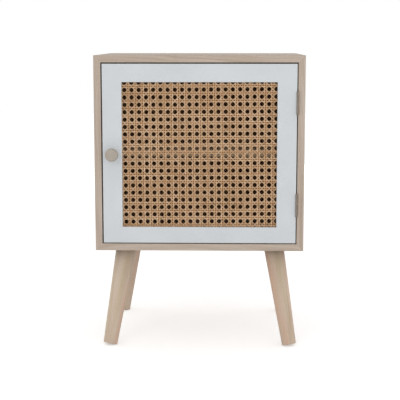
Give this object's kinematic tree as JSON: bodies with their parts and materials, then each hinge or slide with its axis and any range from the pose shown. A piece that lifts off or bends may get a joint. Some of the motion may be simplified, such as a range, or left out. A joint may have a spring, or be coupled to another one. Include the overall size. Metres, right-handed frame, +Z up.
{
  "type": "side table with door",
  "caption": "Small square storage side table: mitred wooden box with one shelf, a white framed door with a woven cane panel, a round knob and splayed tapered legs.",
  "frame": {"origin": "on the floor under the middle of the overall box", "axes": "+Z up, -Y towards the door (front), +X to the right seen from the front"},
  "size_m": [0.36, 0.32, 0.51],
  "materials": {
    "oak_grey": "matt grey-beige oak grain",
    "white_paint": "satin white paint over board",
    "leg_wood": "matt clear-coated solid wood",
    "knob_wood": "matt solid wood",
    "cane": "natural woven rattan cane",
    "plywood": "bare plywood",
    "back_board": "matt thin fibreboard",
    "hinge_steel": "dull bronzed steel",
    "zinc_steel": "zinc-plated steel",
    "black_steel": "black powder-coated steel",
    "magnet_steel": "matt ferrite",
    "catch_plastic": "moulded off-white plastic"
  },
  "bodies": {
    "table": {"top_panel": "oak_grey", "bottom_panel": "oak_grey", "left_side_panel": "oak_grey", "right_side_panel": "oak_grey", "mitre_spline_top_left": "plywood", "mitre_spline_top_right": "plywood", "mitre_spline_bottom_left": "plywood", "mitre_spline_bottom_right": "plywood", "back_panel": "back_board", "shelf": "oak_grey", "legs": "leg_wood", "leg_plates": "black_steel", "leg_bolts": "zinc_steel", "leg_plate_screws": "zinc_steel", "upper_hinge_frame_leaf": "hinge_steel", "lower_hinge_frame_leaf": "hinge_steel", "upper_hinge_pin": "hinge_steel", "lower_hinge_pin": "hinge_steel", "hinge_frame_screws": "hinge_steel", "catch_housing": "catch_plastic", "catch_magnet": "magnet_steel", "catch_pole_plates": "zinc_steel", "catch_screws": "zinc_steel"},
    "door": {"door_frame": "white_paint", "cane_rising_strands": "cane", "cane_falling_strands": "cane", "cane_upright_strands": "cane", "cane_level_strands": "cane", "batten_top": "white_paint", "batten_bottom": "white_paint", "batten_left": "white_paint", "batten_right": "white_paint", "knob": "knob_wood", "knob_screw": "zinc_steel", "upper_hinge_door_leaf": "hinge_steel", "lower_hinge_door_leaf": "hinge_steel", "hinge_door_screws": "hinge_steel", "strike_plate": "zinc_steel", "strike_screws": "zinc_steel"}
  },
  "joints": [
    {"name": "door_hinge", "type": "hinge", "parent": "table", "child": "door", "pos_m": [0.1672, -0.142, 0.342], "axis": [0, 0, 1], "range_deg": [0, 180]}
  ]
}
